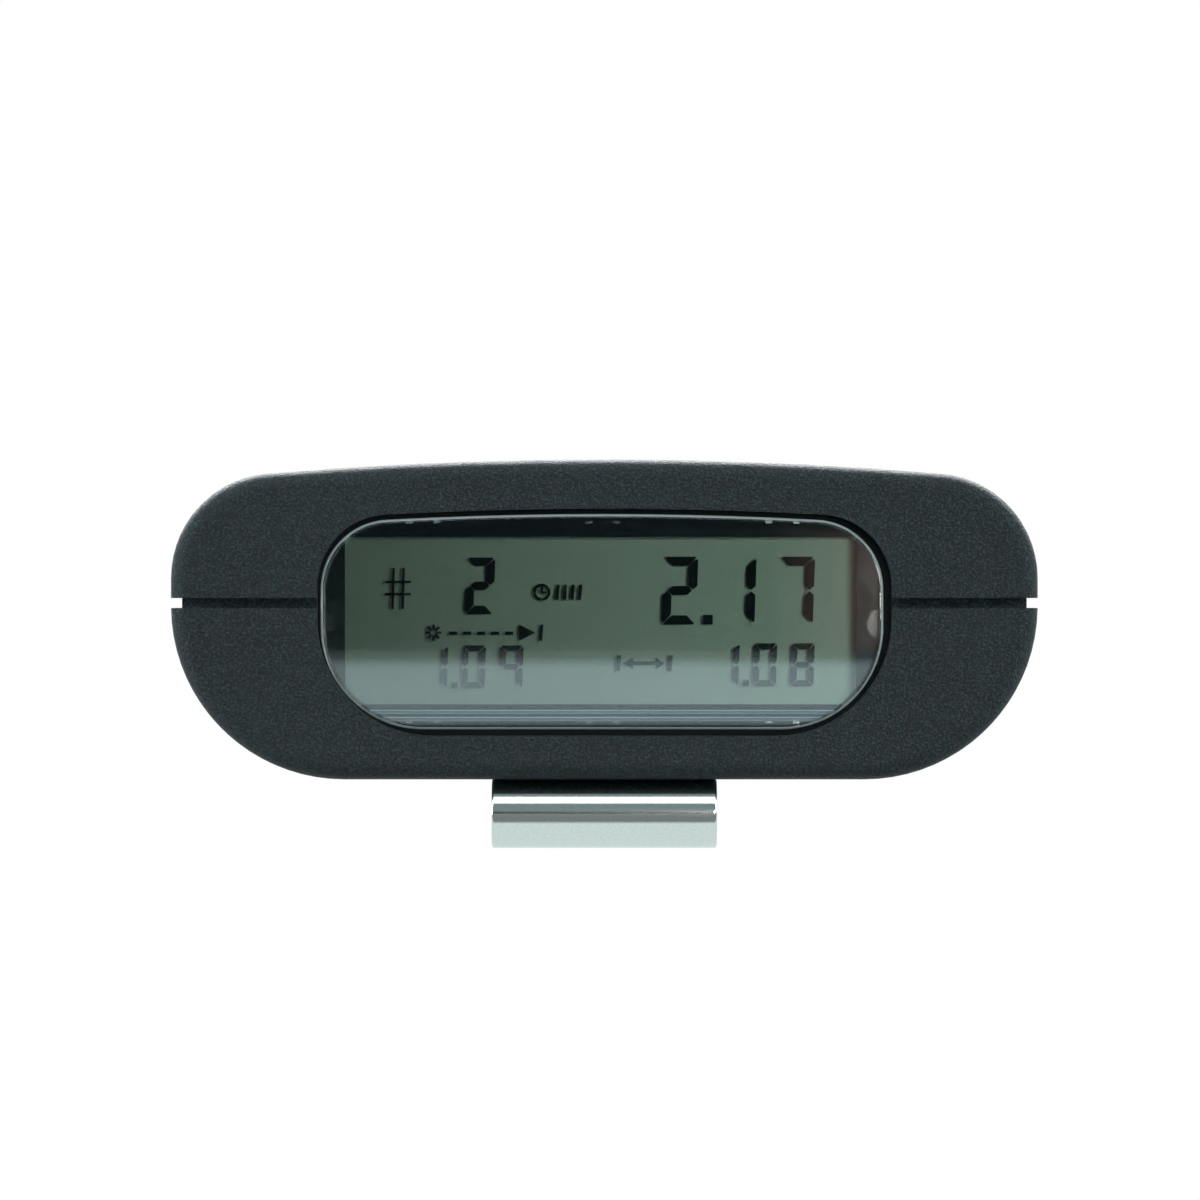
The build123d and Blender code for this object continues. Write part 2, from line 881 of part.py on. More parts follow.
def microphone_boot():
    """Rubber boot that seals the capsule to the sound hole."""
    outer = mic_radius + boot_wall
    top = ceiling_z - crown_fall(mic_x + outer) - layer_gap
    pocket_top = board_top_z + mic_height + layer_gap
    boot = rod(mic_x, mic_y, board_top_z, top, outer)
    boot -= rod(mic_x, mic_y, board_top_z - beyond, pocket_top, mic_radius + thread_gap)
    return boot - rod(mic_x, mic_y, board_top_z, top + beyond, boot_bore)


def battery():
    """Nine-volt block battery lying on its broad side."""
    half = battery_width / 2
    top = battery_z + battery_height
    body = block(-half, half, battery_near_y, battery_far_y, battery_z, top)
    return fillet(body.edges().filter_by(Axis.Y), battery_corner)


def battery_terminals():
    """Round stud and hexagonal socket of the battery."""
    tip_y = battery_near_y - terminal_length
    studs = rod_along_y(-terminal_x, terminal_z, tip_y, battery_near_y, stud_radius)
    socket = Pos(terminal_x, terminal_z) * RegularPolygon(socket_radius, 6)
    return studs + run_y(socket, tip_y, battery_near_y)


def battery_snap():
    """Snap connector pressed on the battery terminals."""
    flat = Pos(0, terminal_z) * RectangleRounded(snap_width, snap_height, snap_corner)
    return run_y(flat, snap_near_y, battery_near_y - layer_gap) - battery_terminals()


def battery_pad():
    """Foam pad that keeps the battery from rattling."""
    low_z = battery_z + battery_height + layer_gap
    return block(-pad_half, pad_half, *pad_y, low_z, bay_roof_z - layer_gap)


def battery_door():
    """Sliding door: flush outer skin, wider tongue and grip grooves."""
    skin_z = back_z + door_skin
    top = floor_z - door_slack
    skin = block(-door_half, door_half, door_near_y, far_y + beyond, back_z - beyond, skin_z)
    web = block(-door_half, door_half, door_near_y, far_y, skin_z - door_slack, top)
    tongue_near = bay_near_y + 2 * door_gap
    tongue_half = door_tongue_half
    tongue = block(-tongue_half, tongue_half, tongue_near, far_y, skin_z + door_slack, top)
    door = (skin + web + tongue) & case_solid()
    for n in range(grip_count):
        y = far_y - 2 * grip_pitch - n * grip_pitch
        near, far = y - grip_half_width, y + grip_half_width
        door -= block(-grip_half_length, grip_half_length, near, far, back_z - beyond, back_z + grip_depth)
    return door


def clip_strip(path):
    """Flat strip of the clip's width and thickness along a path."""
    profile = Plane(origin=path @ 0, x_dir=(1, 0, 0), z_dir=path % 0)
    return sweep(profile * Rectangle(clip_width, clip_thick), path=path)


def belt_clip_base():
    """Fixed leg of the clip under the case, with the bend at its end."""
    high = back_z - clip_thick / 2
    low = clip_thick / 2
    flat = Line((0, clip_base_far_y, high), (0, bend_y, high))
    middle = (0, bend_y - (high - low) / 2, (high + low) / 2)
    bend = ThreePointArc((0, bend_y, high), middle, (0, bend_y, low))
    base = clip_strip(Wire([*flat.edges(), *bend.edges()]))
    for y in rivet_y:
        base -= rod(0, y, low, back_z + beyond, rivet_radius + thread_gap)
    return base


def belt_clip_leaf():
    """Springing leg of the clip: flat, then ramped up to a grip bend and flared."""
    low = clip_thick / 2
    path = FilletPolyline(
        (0, bend_y + layer_gap, low),
        (0, clip_ramp_y, low),
        (0, *clip_grip),
        (0, *clip_tip),
        radius=clip_ramp_radius,
    )
    length = clip_tip[0] - clip_near_y
    plan = RectangleRounded(clip_width, length, clip_tip_corner)
    corners = Pos(0, clip_tip[0] - length / 2 + layer_gap, -beyond) * extrude(plan, amount=back_z + beyond)
    rest = block(-clip_width, clip_width, clip_near_y, clip_ramp_y, -beyond, back_z)
    return clip_strip(path) & (corners + rest)


def clip_rivets():
    """Two rivets through the clip and the floor of the rear shell, clinched inside."""
    rivets = Part()
    under = back_z - clip_thick
    for y in rivet_y:
        head = rod(0, y, under - rivet_head_height, under, rivet_head_radius)
        head = fillet(head.faces().sort_by(Axis.Z)[0].edges(), 2 * bite)
        clinch = rod(0, y, floor_z, floor_z + clinch_height, clinch_radius)
        clinch = fillet(clinch.faces().sort_by(Axis.Z)[-1].edges(), bite)
        rivets += head + rod(0, y, under, floor_z, rivet_radius) + clinch
    return rivets


def case_screws():
    """Four screws that pull the rear shell against the front shell."""
    screws = Part()
    head_z = case_head_seat_z - case_head_height
    for x, y in case_screw_places():
        head = rod(x, y, head_z, case_head_seat_z, case_head_radius)
        for dx, dy in ((cross_reach, cross_half), (cross_half, cross_reach)):
            head -= block(x - dx, x + dx, y - dy, y + dy, head_z - beyond, head_z + cross_depth)
        screws += head + rod(x, y, case_head_seat_z, seam_z + case_screw_grip, case_screw_radius)
    return screws


def board_screws():
    """Four screws that hold the main board under its posts."""
    screws = Part()
    for x, y in board_screw_places:
        screws += rod(x, y, board_under_z - board_head_height, board_under_z, board_head_radius)
        screws += rod(x, y, board_under_z, board_top_z + board_screw_grip, board_screw_radius)
    return screws


def write(name, shape):
    """Write one sub-part to its own file."""
    export_step(shape, f"parts/{name}.step")


os.makedirs("parts", exist_ok=True)
case_parts = (front_shell, rear_shell, face_label, display_window, window_gasket, battery_door)
display_parts = (lcd_holder, front_polariser, lcd_front_glass, lcd_rear_glass, lcd_reflector)
display_parts += (lcd_pins, display_board, driver_blob)
board_parts = (header_pins, header_strip, main_board, microcontroller, crystal, capacitors, switch_bodies)
sound_parts = (speaker_frame, speaker_magnet, speaker_cone, speaker_cloth, speaker_leads)
sound_parts += (microphone, microphone_boot)
battery_parts = (battery, battery_terminals, battery_snap, battery_pad)
clip_parts = (belt_clip_base, belt_clip_leaf, clip_rivets)
screw_parts = (case_screws, board_screws, holder_screws)
groups = (case_parts, display_parts, board_parts, sound_parts, battery_parts, clip_parts, screw_parts)
for group in groups:
    for make in group:
        write(make.__name__, make())
for key in keys:
    write(f"{key}_button", key_cap(key))
    write(f"{key}_plunger", key_plunger(key))
for colour in battery_lead_ends:
    write(f"battery_lead_{colour}", battery_lead(colour))
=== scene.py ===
import json
import math

import bmesh
import bpy
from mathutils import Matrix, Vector


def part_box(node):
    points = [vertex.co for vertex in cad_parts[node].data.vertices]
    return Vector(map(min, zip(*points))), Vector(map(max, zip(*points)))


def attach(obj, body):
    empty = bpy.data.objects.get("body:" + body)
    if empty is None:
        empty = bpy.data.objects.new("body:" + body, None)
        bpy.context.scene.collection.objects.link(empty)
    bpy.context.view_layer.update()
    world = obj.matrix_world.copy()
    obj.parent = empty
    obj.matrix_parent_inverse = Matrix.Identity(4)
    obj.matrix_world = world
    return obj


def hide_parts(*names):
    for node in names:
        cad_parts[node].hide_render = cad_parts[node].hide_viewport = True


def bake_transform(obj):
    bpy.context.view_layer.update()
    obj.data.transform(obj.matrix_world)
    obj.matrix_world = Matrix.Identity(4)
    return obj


MM = 0.001
SEAM_TO_BOSS = 0.1 * MM

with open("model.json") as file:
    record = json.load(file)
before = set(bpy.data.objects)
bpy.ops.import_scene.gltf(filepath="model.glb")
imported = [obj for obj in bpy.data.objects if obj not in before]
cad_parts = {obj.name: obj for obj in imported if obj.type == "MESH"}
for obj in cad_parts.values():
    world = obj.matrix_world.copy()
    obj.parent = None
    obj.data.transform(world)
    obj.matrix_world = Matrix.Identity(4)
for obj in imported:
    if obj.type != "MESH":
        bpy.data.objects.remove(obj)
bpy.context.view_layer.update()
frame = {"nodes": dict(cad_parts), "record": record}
nodes = frame["nodes"]
slot_of = {part["node"]: part["material_slot"] for part in frame["record"]["subparts"]}


# ---------------------------------------------------------------- places, from the frame

front_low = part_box("front_shell")[0]
glass_low, glass_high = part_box("lcd_rear_glass")
end_face_y = front_low.y
seam_z = front_low.z - SEAM_TO_BOSS
view_centre_x = (glass_low.x + glass_high.x) / 2
view_centre_z = (glass_low.z + glass_high.z) / 2


# ---------------------------------------------------------------- camera

CAMERA_DISTANCE = 0.65
CAMERA_RISE = 0.28 * MM
CAMERA_SIDE = -0.4 * MM
FRAME_WIDTH = 110.5 * MM
SENSOR = 36.0
CLIP_NEAR = 0.01
CLIP_FAR = 50.0


def add_camera():
    """Long lens, level, straight on the display end."""
    data = bpy.data.cameras.new("camera")
    data.sensor_width = SENSOR
    data.lens = SENSOR * CAMERA_DISTANCE / FRAME_WIDTH
    data.clip_start = CLIP_NEAR
    data.clip_end = CLIP_FAR
    camera = bpy.data.objects.new("camera", data)
    camera.location = (CAMERA_SIDE, end_face_y - CAMERA_DISTANCE, seam_z + CAMERA_RISE)
    camera.rotation_euler = (math.radians(90), 0, 0)
    bpy.context.scene.collection.objects.link(camera)
    bpy.context.scene.camera = camera
    bpy.context.scene.view_settings.view_transform = "Standard"


# ---------------------------------------------------------------- node helpers

RANGE_INPUTS = ("From Min", "From Max", "To Min", "To Max")


class Tree:
    """A node tree, with short ways to add and join nodes."""

    def __init__(self, tree):
        self.tree = tree
        self.nodes = tree.nodes

    def add(self, kind, **settings):
        node = self.nodes.new(kind)
        for key, value in settings.items():
            setattr(node, key, value)
        return node

    def join(self, source, target):
        self.tree.links.new(source, target)

    def axes(self, vector):
        """The X, Y and Z of a vector socket."""
        split = self.add("ShaderNodeSeparateXYZ")
        self.join(vector, split.inputs["Vector"])
        return [split.outputs[axis] for axis in "XYZ"]

    def span(self, value, low, high, out_low, out_high):
        """Map a value from one range to another."""
        node = self.add("ShaderNodeMapRange")
        self.join(value, node.inputs["Value"])
        for key, number in zip(RANGE_INPUTS, (low, high, out_low, out_high)):
            node.inputs[key].default_value = number
        return node.outputs["Result"]

    def calc(self, operation, value, other=0.0):
        """One arithmetic step on a socket, with a number or another socket."""
        node = self.add("ShaderNodeMath", operation=operation)
        self.join(value, node.inputs[0])
        if isinstance(other, float):
            node.inputs[1].default_value = other
        else:
            self.join(other, node.inputs[1])
        return node.outputs["Value"]

    def hump(self, value, start, full, drop, end):
        """A value's weight: 0 up to start, 1 from full to drop, and 0 again from end on."""
        return self.calc("MULTIPLY", self.span(value, start, full, 0, 1), self.span(value, drop, end, 1, 0))

    def both(self, one, two):
        """Two shaders added together."""
        node = self.add("ShaderNodeAddShader")
        self.join(one, node.inputs[0])
        self.join(two, node.inputs[1])
        return node.outputs["Shader"]

    def by_ray(self, kind, usual, chosen):
        """The chosen shader for one kind of ray, and the usual one for all others."""
        path = self.add("ShaderNodeLightPath")
        mix = self.add("ShaderNodeMixShader")
        self.join(path.outputs[kind], mix.inputs["Fac"])
        self.join(usual, mix.inputs[1])
        self.join(chosen, mix.inputs[2])
        return mix.outputs["Shader"]


class Shader(Tree):
    """A material's node tree around its Principled shader."""

    def __init__(self, name):
        self.material = bpy.data.materials.new(name)
        self.material.use_nodes = True
        super().__init__(self.material.node_tree)
        self.main = self.nodes["Principled BSDF"]
        self.output = self.nodes["Material Output"]

    def set(self, **values):
        for key, value in values.items():
            self.main.inputs[key.replace("_", " ")].default_value = value
        return self

    def place(self, stretch=(1, 1, 1)):
        """Object coordinates in metres, stretched along each axis."""
        coords = self.add("ShaderNodeTexCoord")
        mapping = self.add("ShaderNodeMapping")
        mapping.inputs["Scale"].default_value = stretch
        self.join(coords.outputs["Object"], mapping.inputs["Vector"])
        return mapping.outputs["Vector"]

    def noise(self, size, detail=2.0, stretch=(1, 1, 1), rough=0.5):
        """Noise whose features are about size metres across."""
        node = self.add("ShaderNodeTexNoise")
        node.inputs["Scale"].default_value = 1 / size
        node.inputs["Detail"].default_value = detail
        node.inputs["Roughness"].default_value = rough
        self.join(self.place(stretch), node.inputs["Vector"])
        return node.outputs["Fac"]

    def turned(self, axis):
        """How far a face looks along an axis of the object, either way, from 0 to 1."""
        normal = self.add("ShaderNodeNewGeometry").outputs["Normal"]
        return self.calc("ABSOLUTE", self.axes(normal)["XYZ".index(axis)])

    def blend(self, factor, low, high):
        """Mix two colours, or a colour socket and a colour, by a factor."""
        node = self.add("ShaderNodeMix", data_type="RGBA")
        self.join(factor, node.inputs["Factor"])
        for key, colour in (("A", low), ("B", high)):
            socket = next(s for s in node.inputs if s.name == key and s.type == "RGBA")
            if isinstance(colour, tuple):
                socket.default_value = (*colour, 1)
            else:
                self.join(colour, socket)
        return next(s for s in node.outputs if s.type == "RGBA")

    def bump(self, height, depth, strength=1.0):
        """Bump the surface by a height of 0 to 1 that stands for depth metres."""
        node = self.add("ShaderNodeBump")
        node.inputs["Strength"].default_value = strength
        node.inputs["Distance"].default_value = depth
        self.join(height, node.inputs["Height"])
        self.join(node.outputs["Normal"], self.main.inputs["Normal"])
        return self

    def colour(self, socket):
        self.join(socket, self.main.inputs["Base Color"])
        return self

    def roughness(self, socket):
        self.join(socket, self.main.inputs["Roughness"])
        return self

    def let_lamps_through(self, tint):
        """Light from lamps passes the clear piece unbent, so what is behind it is lit."""
        clear = self.add("ShaderNodeBsdfTransparent")
        clear.inputs["Color"].default_value = (*tint, 1)
        surface = self.by_ray("Is Shadow Ray", self.main.outputs["BSDF"], clear.outputs["BSDF"])
        self.join(surface, self.output.inputs["Surface"])
        return self


# ---------------------------------------------------------------- materials

# The parts of a noise's range of 0 to 1 that are stretched to a full range.
MIDDLE = (0.35, 0.65)
WIDE = (0.3, 0.7)
PATCH = 14 * MM


def grained(name, dark, light, grain=0.4 * MM, depth=0.01 * MM, rough=(0.4, 0.6)):
    """Moulded plastic or rubber with a fine eroded grain and a slight unevenness."""
    s = Shader(name)
    fine = s.noise(grain, detail=3.0, rough=0.6)
    tone = s.blend(s.span(s.noise(PATCH), *MIDDLE, 0, 0.06), dark, light)
    s.colour(s.blend(s.span(fine, 0.46, 0.68, 0, 1), tone, light))
    return s.roughness(s.span(fine, *WIDE, *rough)).bump(fine, depth)


def metal(name, dark, light, grain, depth, rough, stretch=(1, 1, 1)):
    """Bare metal with a fine satin or brushed finish."""
    s = Shader(name)
    fine = s.noise(grain, detail=4.0, stretch=stretch, rough=0.65)
    s.colour(s.blend(s.span(fine, *WIDE, 0, 1), dark, light)).set(Metallic=1.0)
    return s.roughness(s.span(fine, *WIDE, *rough)).bump(fine, depth)


def woven(name, dark, light, pitch):
    """Woven cloth or open foam."""
    s = Shader(name)
    cells = s.add("ShaderNodeTexVoronoi")
    cells.inputs["Scale"].default_value = 1 / pitch
    s.join(s.place(), cells.inputs["Vector"])
    near = cells.outputs["Distance"]
    s.colour(s.blend(s.span(near, 0, 0.6, 0, 1), light, dark))
    return s.set(Roughness=0.9, Sheen_Weight=0.2).bump(near, 0.1 * MM, strength=0.6)


def key_rubber(name, dark, light):
    s = grained(name, dark, light, grain=0.25 * MM, depth=0.012 * MM, rough=(0.42, 0.56))
    return s.set(Sheen_Weight=0.05, Coat_Weight=0.12, Coat_Roughness=0.45)


def case_plastic(name):
    s = grained(name, (0.0, 0.001, 0.002), (0.013, 0.040, 0.047), 0.22 * MM, 0.34 * MM, (0.42, 0.58))
    return s.set(Specular_IOR_Level=0.24)


def black_rubber(name):
    s = grained(name, (0.002, 0.0035, 0.004), (0.005, 0.007, 0.008), 0.5 * MM, 0.02 * MM, (0.7, 0.9))
    return s.set(Specular_IOR_Level=0.1)


def holder_plastic(name):
    """Glossy black, with a painted highlight on the small rounded lines along the step."""
    s = Shader(name)
    s.set(Specular_IOR_Level=0.25)
    # Painted highlight: faces tilted partly up or down, picked by their normals, are coloured pale teal in
    # place of the light they would catch.
    rounded = s.hump(s.turned("Z"), 0.15, 0.40, 0.93, 0.99)
    s.colour(s.blend(rounded, (0.003, 0.006, 0.007), (0.12, 0.175, 0.20)))
    haze = s.noise(1.6 * MM, detail=3.0, stretch=(0.15, 1, 2))
    return s.roughness(s.span(haze, *WIDE, 0.04, 0.08)).bump(haze, 0.002 * MM)


def clear_acrylic(name):
    """Polished, with a satin chamfer round its edge whose pale grey colour is a painted highlight."""
    s = Shader(name)
    s.set(IOR=1.49)
    # The edge faces, picked by how little they face along Y, are rougher as a satin finish, and are also
    # coloured pale grey and let less light through: a painted highlight for the bright line round the lens.
    satin = s.hump(s.turned("Y"), 0.10, 0.30, 0.90, 0.98)
    s.join(s.span(satin, 0, 1, 1, 0.35), s.main.inputs["Transmission Weight"])
    s.colour(s.blend(satin, (0.93, 0.975, 0.965), (0.26, 0.33, 0.33)))
    polish = s.span(s.noise(12 * MM, detail=0.0), *WIDE, 0, 0.012)
    s.roughness(s.calc("MAXIMUM", polish, s.calc("MULTIPLY", satin, 0.3)))
    return s.let_lamps_through((0.93, 0.97, 0.96))


def lcd_glass(name):
    s = Shader(name)
    s.set(Base_Color=(0.95, 0.98, 0.965, 1), Transmission_Weight=1.0, IOR=1.12)
    s.roughness(s.span(s.noise(12 * MM, detail=0.0), *WIDE, 0, 0.01))
    return s.let_lamps_through((0.96, 0.98, 0.97))


def polariser_film(name):
    s = Shader(name)
    s.set(Base_Color=(0.74, 0.79, 0.76, 1), Transmission_Weight=1.0, Roughness=0.02, IOR=1.4)
    return s.bump(s.noise(0.3 * MM), 0.0006 * MM).let_lamps_through((0.64, 0.69, 0.67))


def reflector_film(name):
    s = Shader(name)
    fine = s.noise(0.12 * MM, rough=0.7)
    broad = s.noise(7 * MM, detail=1.0)
    tone = s.blend(s.span(fine, *MIDDLE, 0, 1), (0.27, 0.26, 0.25), (0.33, 0.32, 0.31))
    s.colour(s.blend(s.span(broad, *MIDDLE, 0, 0.45), tone, (0.30, 0.28, 0.275)))
    return s.set(Metallic=0.95, Roughness=0.29).bump(fine, 0.004 * MM)


def segment_ink(name):
    s = Shader(name)
    s.colour(s.blend(s.noise(0.2 * MM), (0.0008, 0.004, 0.006), (0.0018, 0.007, 0.010)))
    return s.set(Roughness=0.9, Specular_IOR_Level=0.05)


def circuit_board(name):
    s = Shader(name)
    broad = s.noise(2.5 * MM, detail=3.0)
    s.colour(s.blend(s.span(broad, 0.45, 0.55, 0, 1), (0.008, 0.06, 0.03), (0.018, 0.11, 0.05)))
    return s.set(Roughness=0.32, Coat_Weight=0.3).bump(broad, 0.03 * MM)


GRAINED = {
    "label_film": dict(
        dark=(0.019, 0.022, 0.024), light=(0.025, 0.028, 0.030),
        grain=0.12 * MM, depth=0.006 * MM, rough=(0.36, 0.48),
    ),
    "black_screw": dict(dark=(0.003, 0.004, 0.004), light=(0.006, 0.007, 0.008), rough=(0.08, 0.14)),
    "chip_epoxy": dict(dark=(0.008, 0.008, 0.009), light=(0.018, 0.018, 0.019)),
    "capacitor_sleeve": dict(dark=(0.01, 0.014, 0.05), light=(0.02, 0.026, 0.08), rough=(0.2, 0.35)),
    "cone_film": dict(dark=(0.02, 0.02, 0.02), light=(0.05, 0.05, 0.05), rough=(0.25, 0.4)),
    "battery_wrap": dict(dark=(0.05, 0.055, 0.06), light=(0.08, 0.085, 0.09), rough=(0.25, 0.4)),
    "lead_black": dict(dark=(0.008, 0.008, 0.008), light=(0.02, 0.02, 0.02)),
    "lead_red": dict(dark=(0.25, 0.01, 0.01), light=(0.4, 0.02, 0.02)),
    "plunger_plastic": dict(dark=(0.4, 0.38, 0.33), light=(0.5, 0.48, 0.42)),
}
METALS = {
    "clip_steel": dict(
        dark=(0.60, 0.66, 0.645), light=(0.72, 0.775, 0.755),
        grain=0.12 * MM, depth=0.0012 * MM, rough=(0.09, 0.12), stretch=(0.5, 1, 1),
    ),
    "screw_steel": dict(
        dark=(0.30, 0.30, 0.31), light=(0.46, 0.46, 0.46),
        grain=0.3 * MM, depth=0.004 * MM, rough=(0.25, 0.42),
    ),
    "tinned_metal": dict(
        dark=(0.30, 0.325, 0.33), light=(0.39, 0.41, 0.41),
        grain=0.4 * MM, depth=0.001 * MM, rough=(0.085, 0.12),
    ),
    "magnet_grey": dict(
        dark=(0.2, 0.2, 0.21), light=(0.3, 0.3, 0.31),
        grain=0.5 * MM, depth=0.01 * MM, rough=(0.3, 0.45),
    ),
}
WOVEN = {
    "black_cloth": dict(dark=(0.004, 0.004, 0.004), light=(0.03, 0.03, 0.03), pitch=0.5 * MM),
    "foam_grey": dict(dark=(0.03, 0.03, 0.03), light=(0.12, 0.12, 0.12), pitch=0.7 * MM),
}
KEY_RUBBER = {
    "start_key": dict(dark=(0.13, 0.006, 0.005), light=(0.18, 0.010, 0.008)),
    "small_key": dict(dark=(0.045, 0.05, 0.053), light=(0.065, 0.07, 0.073)),
}
SPECIAL = {
    "case_plastic": case_plastic,
    "window_clear": clear_acrylic,
    "black_rubber": black_rubber,
    "holder_plastic": holder_plastic,
    "polariser_film": polariser_film,
    "lcd_glass": lcd_glass,
    "reflector_film": reflector_film,
    "circuit_board": circuit_board,
}


def finish_of(slot):
    """The material of one slot."""
    for table, maker in ((GRAINED, grained), (METALS, metal), (WOVEN, woven), (KEY_RUBBER, key_rubber)):
        if slot in table:
            return maker(slot, **table[slot]).material
    return SPECIAL[slot](slot).material


def dress_nodes():
    """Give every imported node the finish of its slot."""
    made = {}
    for name, piece in nodes.items():
        slot = slot_of[name]
        if slot not in made:
            made[slot] = finish_of(slot)
        for index in range(max(1, len(piece.material_slots))):
            if index < len(piece.material_slots):
                piece.material_slots[index].material = made[slot]
            else:
                piece.data.materials.append(made[slot])
    return made


# ---------------------------------------------------------------- mesh helpers


def new_piece(name, mesh, material, body):
    """A finished mesh as a piece that rides on one body."""
    mesh.name = name
    piece = bpy.data.objects.new(name, mesh)
    bpy.context.scene.collection.objects.link(piece)
    piece.data.materials.append(material)
    if body:
        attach(piece, body)
    return piece


def prisms(outlines, y_front, y_back):
    """Mesh of upright prisms from outlines of (x, z) points in metres."""
    bm = bmesh.new()
    for outline in outlines:
        front = [bm.verts.new((x, y_front, z)) for x, z in outline]
        back = [bm.verts.new((x, y_back, z)) for x, z in outline]
        bm.faces.new(front)
        bm.faces.new(list(reversed(back)))
        count = len(outline)
        for n in range(count):
            m = (n + 1) % count
            bm.faces.new((front[n], back[n], back[m], front[m]))
    bmesh.ops.recalc_face_normals(bm, faces=bm.faces)
    mesh = bpy.data.meshes.new("prisms")
    bm.to_mesh(mesh)
    bm.free()
    return mesh


# ---------------------------------------------------------------- display figures

SLANT = math.tan(math.radians(2))
SEGMENT_GAP = 0.09
SEGMENT_CHAMFER = 0.3
DOT_SIZE = 1.05
DOT_PLACE = 0.30
INK_DEPTH = (0.04 * MM, 0.01 * MM)
LIT = {
    "0": "abcdef",
    "1": "bc",
    "2": "abged",
    "7": "abc",
    "8": "abcdefg",
    "9": "abcfg",
}
# Each number's text, right end, foot, and its figures' width, height, bar and pitch, in millimetres
# from the middle of the display.
NUMBERS = (
    ("2", -9.94, 0.60, 2.65, 5.25, 0.78, 4.6),
    ("2.17", 19.70, -0.35, 3.2, 6.28, 0.84, 5.42),
    ("1.09", -7.27, -6.30, 2.16, 4.0, 0.57, 3.5),
    ("1.08", 19.75, -6.10, 2.16, 4.0, 0.57, 3.48),
)


def segment_outlines(width, height, bar):
    """The seven bars of one figure, mitred and chamfered at the corners and pointed at the middle."""
    mid = height / 2
    half = bar / 2
    gap = bar * SEGMENT_GAP
    cut = bar * SEGMENT_CHAMFER

    def upside(points):
        return [(x, height - z) for x, z in points]

    def across(points):
        return [(width - x, z) for x, z in points]

    top = [
        (cut, height),
        (width - cut, height),
        (width - cut / 2 - gap, height - cut / 2),
        (width - bar - gap, height - bar),
        (bar + gap, height - bar),
        (cut / 2 + gap, height - cut / 2),
    ]
    right = [
        (width - cut / 2, height - cut / 2 - gap),
        (width, height - cut - gap),
        (width, mid + half),
        (width - half, mid + gap),
        (width - bar, mid + half + gap),
        (width - bar, height - bar - gap),
    ]
    middle = [
        (half + gap, mid),
        (bar + gap, mid + half),
        (width - bar - gap, mid + half),
        (width - half - gap, mid),
        (width - bar - gap, mid - half),
        (bar + gap, mid - half),
    ]
    return {
        "a": top,
        "b": right,
        "c": upside(right),
        "d": upside(top),
        "e": across(upside(right)),
        "f": across(right),
        "g": middle,
    }


def number(text, right, low, width, height, bar, pitch):
    """A row of slanted figures that ends at right; a dot stands to the right of its figure."""
    bars = segment_outlines(width, height, bar)
    outlines = []
    for character in reversed(text):
        if character == ".":
            near = right + (pitch - width) * DOT_PLACE
            far, high = near + bar * DOT_SIZE, low + bar * DOT_SIZE
            outlines.append([(near, low), (far, low), (far, high), (near, high)])
        else:
            left = right - width
            outlines += [[(left + x + z * SLANT, low + z) for x, z in bars[key]] for key in LIT[character]]
            right -= pitch
    return outlines


def strokes(lines, thickness):
    """Straight strokes, each from one point to another, of one thickness."""
    outlines = []
    for (x0, z0), (x1, z1) in lines:
        length = math.hypot(x1 - x0, z1 - z0)
        nx = -(z1 - z0) / length * thickness / 2
        nz = (x1 - x0) / length * thickness / 2
        outlines.append([(x0 + nx, z0 + nz), (x1 + nx, z1 + nz), (x1 - nx, z1 - nz), (x0 - nx, z0 - nz)])
    return outlines


def ring(radius, thickness, count=20):
    """A ring that touches both axes, as short joined wedges."""
    outlines = []
    inner = radius - thickness
    for n in range(count):
        wedge = []
        for reach, step in ((radius, n), (radius, n + 1), (inner, n + 1), (inner, n)):
            a = math.tau * step / count
            wedge.append((radius + reach * math.cos(a), radius + reach * math.sin(a)))
        outlines.append(wedge)
    return outlines


# The marks are drawn in millimetres from their lower left corners.
MARK_HEIGHT = 1.5
MIDLINE = MARK_HEIGHT / 2


def hash_sign():
    """The number sign before the count."""
    reach, high, lean, thick = 2.4, 3.8, 0.1, 0.22
    lines = [((0, high * k), (reach, high * k)) for k in (0.36, 0.66)]
    lines += [((reach * k, 0), (reach * k + lean, high)) for k in (0.29, 0.68)]
    return strokes(lines, thick)


def clock_mark():
    """Clock face with two hands and a short scale, for the total time."""
    radius, rim, hand, lean, thick = 0.8, 0.24, 0.2, 0.12, 0.3
    centre = (radius, radius)
    marks = ring(radius, rim) + strokes([(centre, (radius, 1.35)), (centre, (1.2, 0.75))], hand)
    return marks + strokes([((k, 0.1), (k + lean, MARK_HEIGHT)) for k in (2.2, 2.9, 3.6, 4.3)], thick)


def burst_mark():
    """Starburst followed by a dotted run and an upright bar, for the first sound."""
    inner, rays, ray, dash, line, thick = 0.35, 8, 0.22, 0.75, 0.7, 0.3
    marks = []
    for n in range(rays):
        a = math.tau * n / rays
        reach = (MIDLINE * math.cos(a), MIDLINE * math.sin(a))
        start, end = [(MIDLINE + reach[0] * k, MIDLINE + reach[1] * k) for k in (inner, 1)]
        marks += strokes([(start, end)], ray)
    marks += strokes([((k, line), (k + dash, line)) for k in (2.2, 3.5, 4.8, 6.1, 7.4)], thick)
    marks.append([(8.7, 0), (10.2, MIDLINE), (8.7, MARK_HEIGHT)])
    return marks + strokes([((10.7, 0), (10.8, MARK_HEIGHT))], thick)


